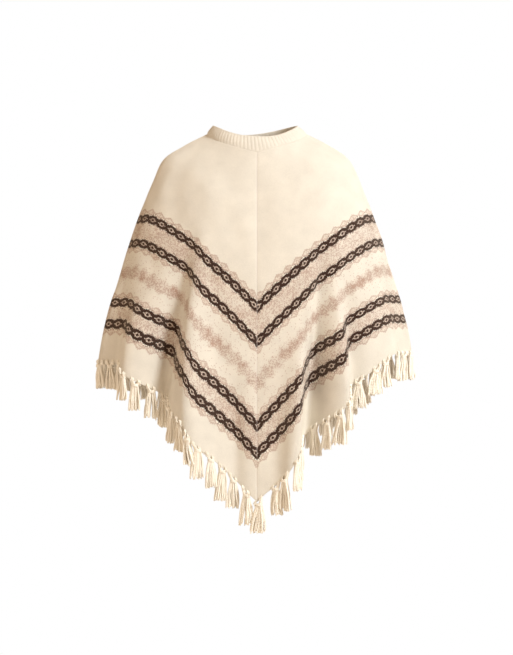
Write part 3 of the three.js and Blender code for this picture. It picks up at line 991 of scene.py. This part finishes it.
class PONCHO_OT_neckband(bpy.types.Operator):
    """Add the ribbed band round the neck"""

    bl_idname = "poncho.neckband"
    bl_label = "Neckband"

    def execute(self, context):
        settings = context.scene.poncho_neckband
        knit = context.scene.poncho_knit
        piece = self.add_band(settings, knit)
        piece.data.materials.append(rib_material(knit, shared_groups()))
        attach(piece, "root")
        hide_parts("neckband")
        return {"FINISHED"}

    def rim(self, angle):
        """Upper edge of the band: lower in front of the left shoulder, higher behind it, and lower
        behind the right one."""
        sine = np.sin(np.radians(angle))
        cosine = np.cos(np.radians(angle))
        is_front = np.abs(angle) <= 90
        x = RIM_SIDE * sine + RIM_SHIFT
        y = -np.where(is_front, RIM_FRONT, RIM_BACK) * cosine
        z = RIM_SIDE_Z + (np.where(is_front, RIM_FRONT_Z, RIM_BACK_Z) - RIM_SIDE_Z) * cosine**2
        z += RIM_SLANT * np.where(is_front, -np.maximum(sine, 0), sine) * np.abs(cosine)
        return np.stack([x, y, z], axis=-1)

    def add_band(self, settings, knit):
        """The wall goes up outside, over the rounded edge and down inside, once for each column."""
        columns = settings.ribs * COLUMNS_PER_RIB
        angle = 360 * np.arange(columns) / columns - 180
        wall = knit.wall / MM
        section = sections_at(np.array([0.0]))
        bottom = row_points(section, angle[None, :], 0, 0, section.left)[0]
        bottom[:, 2] += SEAM_GAP
        top = self.rim(angle)
        out = np.stack([np.sin(np.radians(angle)), -np.cos(np.radians(angle)), 0 * angle], axis=-1)
        rib = 0.5 + 0.5 * np.cos(2 * math.pi * np.arange(columns) / COLUMNS_PER_RIB)
        rib = settings.rib_height / MM * smoothstep(rib * RIB_WIDEN)

        def ring(share, thickness, lift=0.0):
            """One ring of the band, between its lower and its upper edge."""
            bulge = settings.bulge / MM * math.sin(math.pi * share)
            base = bottom + (top - bottom) * share
            base = base + out * (bulge + thickness)[:, None]
            base[:, 2] += lift
            return base

        rings = []
        heights = []
        for k in range(BAND_ROWS + 1):
            share = k / BAND_ROWS
            rings.append(ring(share, rib * min(1, RIB_START + RIB_GROWTH * share)))
            heights.append(share)
        for k in range(1, EDGE_ROWS):
            turn = math.pi * k / EDGE_ROWS
            middle = (rib - wall) / 2
            radius = (rib + wall) / 2
            rings.append(ring(1.0, middle + radius * math.cos(turn), EDGE_RISE * wall * math.sin(turn)))
            heights.append(1 + EDGE_SHARE * k / EDGE_ROWS)
        for k in range(BAND_ROWS, -1, -2):
            share = k / BAND_ROWS
            rings.append(ring(share, INNER_RIB * rib - wall))
            heights.append(share)
        points = np.array(rings)
        count = len(rings)
        ids = np.arange(count * columns).reshape(count, columns)
        ids = np.concatenate([ids, ids[:, :1]], axis=1)
        ids = np.concatenate([ids, ids[:1]], axis=0)
        faces = grid_quads(ids)[:, ::-1]
        around = row_lengths(points[:1])
        up = BAND_HEIGHT * np.array(heights)[:, None]
        uv = np.stack(np.broadcast_arrays(around, up), axis=-1)
        piece = add_object("neckband_rib", points.reshape(-1, 3), faces, uv.reshape(-1, 2))
        smooth_by_angle(piece, BAND_SHARP)
        return piece


# Fringe, in millimetres. A name that ends in SPAN holds the limits of an even random draw, and one
# that ends in STRAY the deviation of a normal one.

FRINGE_SEED = 11
FIRST_TASSEL = {LEFT: 0.16, RIGHT: 0.95}
LAST_TASSEL = 0.5
PLACE_SPAN = (-0.16, 0.16)
SLOPE_STEP = 3
SIDE_SHORTER = 0.17
LENGTH_SPAN = (0.92, 1.06)

# How a tassel closes up where the hem falls steeply
LEVEL_SPREAD = 1.5
LEAST_KNOT_SPREAD = 0.7
LEAST_LEVEL = 0.35
STEEPEST = 0.9

# Legs and knot
LEG_RINGS = 4
LEG_TOP = 3.0
LEG_DEPTH = 6.0
LEG_SPACING = 16.0
LEG_STRAY = 1.0
KNOT_DROP = 7.5
KNOT_WIDTH = 11.0
KNOT_DEPTH = 6.5
KNOT_STRAY = 2.0

# Strands
STRAND_SIDES = 6
STRAND_RINGS = 10
STRAND_SHARP = 60
STRAND_LENGTH_SPAN = (0.93, 1.03)
STRAND_RADIUS_SPAN = (0.85, 1.1)
STRAND_END = 0.75
TIP_WIDTH = 26.0
TIP_SPAN = (0.5, 0.8)
TIP_STRAY = 1.3
TIP_DEPTH = 0.9
SWAY_STRAY = 3.0
WAVE_SPAN = (0.3, 1.2)
WAVE_TURN_SPAN = (4, 9)
WAVE_OUT = 0.7

# Loops over the edge of the hem
LOOP_RINGS = 8
LOOP_APART = 1.8
LOOP_TOP = 6.5
LOOP_FALL = 11
LOOP_OUT = 1.2
LOOP_BULGE = 2.2
LOOP_CREST = 1.15

# Wraps of the knot
WRAP_RINGS = 9
WRAP_OVER = 1.5
WRAP_APART = 1.5
WRAP_ROUND = 1.04
WRAP_SLANT = 0.8

# Where a tassel hangs: the point of the hem, the way along it, the same way but level, the way out of
# the cloth, how far the tassel spreads from 0 to 1, and how much the hem climbs.
Stance = namedtuple("Stance", "at slope level out spread rise")
UP = np.array([0, 0, 1])


def stance_at(at, slope, side):
    """Stance of a tassel at a point of the hem, where slope is the way along the hem."""
    level = np.array([slope[0], slope[1], 0])
    length = np.linalg.norm(level)
    level /= length
    return Stance(
        at=at,
        slope=slope,
        level=level,
        out=side * np.array([level[1], -level[0], 0]),
        spread=min(LEVEL_SPREAD * length, 1),
        rise=np.clip(slope[2] / max(length, LEAST_LEVEL), -STEEPEST, STEEPEST),
    )


def tubes(paths, radii, first, second, rng):
    """Tubes with a UV of the share round them and the length along them, and a shade for each."""
    points, faces = tube_arrays(paths, radii, first, second, STRAND_SIDES)
    steps = np.linalg.norm(np.diff(paths, axis=1), axis=-1)
    down = np.concatenate([np.zeros((len(paths), 1)), np.cumsum(steps, axis=1)], axis=1)
    around = np.arange(STRAND_SIDES) / STRAND_SIDES
    uv = np.stack(np.broadcast_arrays(around[None, None, :], down[:, :, None]), axis=-1).reshape(-1, 2)
    shade = np.repeat(rng.random(len(paths)), paths.shape[1] * STRAND_SIDES)
    return points, faces, uv, shade


def strand_tubes(stance, settings, rng, length_share):
    """Strands from the hem down their legs to the knot and on to their tips, and the knot's middle."""
    radius = settings.strand_radius / MM
    count = settings.strands
    spread = stance.spread
    length = settings.length / MM * length_share * rng.uniform(*LENGTH_SPAN)
    place = np.linspace(-0.5, 0.5, count)
    depth = rng.uniform(-0.5, 0.5, count)
    root = np.sign(place) * LEG_SPACING / 2 * spread + rng.normal(0, LEG_STRAY, count)
    knot = place * KNOT_WIDTH * max(spread, LEAST_KNOT_SPREAD) + rng.normal(0, KNOT_STRAY)
    tip = knot + place * TIP_WIDTH * spread * rng.uniform(*TIP_SPAN) + rng.normal(0, TIP_STRAY, count)
    sway = rng.normal(0, SWAY_STRAY)
    lengths = length * rng.uniform(*STRAND_LENGTH_SPAN, count)
    wave = rng.uniform(*WAVE_SPAN, count)
    phase = rng.uniform(0, 2 * math.pi, count)
    turns = rng.uniform(*WAVE_TURN_SPAN, count)

    def column(values):
        return values[:, None]

    legs = np.linspace(0, 1, LEG_RINGS)[None, :]
    strands = np.linspace(0, 1, STRAND_RINGS)[None, 1:]
    swing = np.sin(strands * column(turns) + column(phase)) - column(np.sin(phase))
    swing *= column(wave)
    across = np.concatenate([
        column(root) + column(knot - root) * smoothstep(legs),
        column(knot) + column(tip - knot) * np.sin(strands * math.pi / 2)
        + swing + sway * strands**2,
    ], axis=1)
    outward = np.concatenate([
        column(depth) * (LEG_DEPTH + (KNOT_DEPTH - LEG_DEPTH) * legs),
        column(depth) * KNOT_DEPTH * (1 + TIP_DEPTH * strands) + WAVE_OUT * swing * strands,
    ], axis=1)
    height = np.concatenate([
        column(LEG_TOP + stance.rise * root) * (1 - legs) - KNOT_DROP * legs,
        -KNOT_DROP - column(lengths - KNOT_DROP) * strands,
    ], axis=1)
    paths = stance.at + across[..., None] * stance.level + outward[..., None] * stance.out
    paths += height[..., None] * UP
    radii = column(radius * rng.uniform(*STRAND_RADIUS_SPAN, count)) * np.ones(paths.shape[1])
    radii[:, -1] *= STRAND_END
    return tubes(paths, radii, stance.level, stance.out, rng), np.mean(knot)


def loop_tubes(stance, face, radius, rng):
    """Loops of the two legs over the edge of the hem, on its outside or its inside."""
    share = np.linspace(0, 1, LOOP_RINGS)
    shifts = (-LOOP_APART, LOOP_APART)
    across = np.array([leg * LEG_SPACING / 2 + shift for leg in (-1, 1) for shift in shifts])
    height = LOOP_TOP - LOOP_FALL * share
    out = face * (LOOP_OUT + LOOP_BULGE * np.sin(math.pi * np.clip(share * LOOP_CREST, 0, 1)))
    paths = stance.at + across[:, None, None] * stance.spread * stance.slope
    paths = paths + out[None, :, None] * stance.out + height[None, :, None] * UP
    return tubes(paths, np.full(paths.shape[:2], radius), stance.slope, stance.out, rng)


def wrap_tube(stance, face, step, middle, radius, rng):
    """One wrap of the knot, in front of it or behind it, above its middle or below."""
    share = np.linspace(-1, 1, WRAP_RINGS)
    across = middle + share * (KNOT_WIDTH / 2 + WRAP_OVER)
    out = face * (KNOT_DEPTH / 2 + WRAP_OVER) * np.sqrt(WRAP_ROUND - share**2)
    height = step * WRAP_APART - KNOT_DROP + WRAP_SLANT * share
    path = stance.at + across[:, None] * stance.level + out[:, None] * stance.out + height[:, None] * UP
    return tubes(path[None], np.full((1, WRAP_RINGS), radius), stance.out, UP, rng)


def tassel(stance, settings, rng, length_share):
    """Two legs over the hem's edge, their knot, and the strands that hang from it."""
    radius = settings.strand_radius / MM
    strands, middle = strand_tubes(stance, settings, rng, length_share)
    parts = [strands]
    for face in (1, -1):
        parts.append(loop_tubes(stance, face, radius, rng))
    for face in (1, -1):
        for step in (-1, 1):
            parts.append(wrap_tube(stance, face, step, middle, radius, rng))
    return parts


class PONCHO_OT_fringe(bpy.types.Operator):
    """Add the knotted yarn fringe of the hem"""

    bl_idname = "poncho.fringe"
    bl_label = "Fringe"

    def execute(self, context):
        settings = context.scene.poncho_fringe
        material = yarn_material(settings, shared_groups())
        quarters = (
            ("fringe_front_left", LEFT, True),
            ("fringe_front_right", RIGHT, True),
            ("fringe_back_left", LEFT, False),
            ("fringe_back_right", RIGHT, False),
        )
        for number, (name, side, is_front) in enumerate(quarters):
            rng = np.random.default_rng(FRINGE_SEED + number)
            piece = self.add_quarter(name, side, is_front, rng, settings, context.scene.poncho_knit)
            piece.data.materials.append(material)
            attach(piece, "root")
            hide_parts(name)
        return {"FINISHED"}

    def add_quarter(self, name, side, is_front, rng, settings, knit):
        """One quarter of the fringe, its tassels set out from the centre to the arm."""
        turns = panel_turns(knit.columns)
        rows = np.linspace(0, 1, knit.rows)
        surface, normals, lengths, _ = panel_surface(side, turns, rows, knit.crease_scale)
        middle = surface[-1] - normals[-1] * knit.wall / MM / 2
        hem_length = lengths[-1]

        def hem_point(place):
            return np.array([np.interp(place, hem_length, middle[:, axis]) for axis in range(3)])

        reach = hem_length[turns <= 90 if is_front else turns >= 90]
        length = reach[-1] - reach[0]
        count = round(length / (settings.pitch / MM))
        # The left quarters start with the tassel that hangs from the point
        first = FIRST_TASSEL[side]
        step = (count - LAST_TASSEL - first) / (count - 1)
        points, faces, uv, shades = [], [], [], []
        offset = 0
        for k in range(count):
            share = (first + step * k + rng.uniform(*PLACE_SPAN)) / count
            place = reach[0] + share * length if is_front else reach[-1] - share * length
            along = hem_point(place + SLOPE_STEP) - hem_point(place - SLOPE_STEP)
            stance = stance_at(hem_point(place), along / np.linalg.norm(along), side)
            sideways = math.sin(math.radians(np.interp(place, hem_length, turns)))
            parts = tassel(stance, settings, rng, 1 - SIDE_SHORTER * sideways**2)
            for part_points, part_faces, part_uv, part_shades in parts:
                points.append(part_points)
                faces += [[index + offset for index in face] for face in part_faces]
                uv.append(part_uv)
                shades.append(part_shades)
                offset += len(part_points)
        piece = add_object(
            name + "_yarn",
            np.concatenate(points),
            faces,
            np.concatenate(uv),
            {"strand": np.concatenate(shades)},
        )
        smooth_by_angle(piece, STRAND_SHARP)
        return piece


# Cut of the cloth: an operator that does nothing


class PONCHO_OT_cloth(bpy.types.Operator):
    """Does nothing; the cut of the panels and of the neckband is not stated"""

    bl_idname = "poncho.cloth"
    bl_label = "Cut of the cloth"

    def execute(self, context):
        return {"FINISHED"}


# Sidebar and registration

SETTINGS = {
    "poncho_stage": PonchoStageSettings,
    "poncho_knit": PonchoKnitSettings,
    "poncho_neckband": PonchoNeckbandSettings,
    "poncho_fringe": PonchoFringeSettings,
}
OPERATORS = (PONCHO_OT_stage, PONCHO_OT_panels, PONCHO_OT_neckband, PONCHO_OT_fringe, PONCHO_OT_cloth)


class PONCHO_PT_sidebar(bpy.types.Panel):
    """Lists the pieces of the poncho and their sizes"""

    bl_label = "Poncho"
    bl_idname = "PONCHO_PT_sidebar"
    bl_space_type = "VIEW_3D"
    bl_region_type = "UI"
    bl_category = "Poncho"

    def draw(self, context):
        for name, kind in SETTINGS.items():
            box = self.layout.box()
            for key in kind.__annotations__:
                box.prop(getattr(context.scene, name), key)
        for operator in OPERATORS:
            self.layout.operator(operator.bl_idname)


def register():
    for kind in (*SETTINGS.values(), *OPERATORS, PONCHO_PT_sidebar):
        bpy.utils.register_class(kind)
    for name, kind in SETTINGS.items():
        setattr(bpy.types.Scene, name, PointerProperty(type=kind))


def unregister():
    for name in SETTINGS:
        delattr(bpy.types.Scene, name)
    for kind in (PONCHO_PT_sidebar, *reversed(OPERATORS), *reversed(SETTINGS.values())):
        bpy.utils.unregister_class(kind)


def main():
    register()
    bpy.context.scene.view_settings.view_transform = "Standard"
    bpy.ops.object.select_all(action="DESELECT")
    bpy.ops.poncho.stage()
    bpy.ops.poncho.panels()
    bpy.ops.poncho.neckband()
    bpy.ops.poncho.fringe()
    bpy.ops.poncho.cloth()


if __name__ == "__main__":
    main()
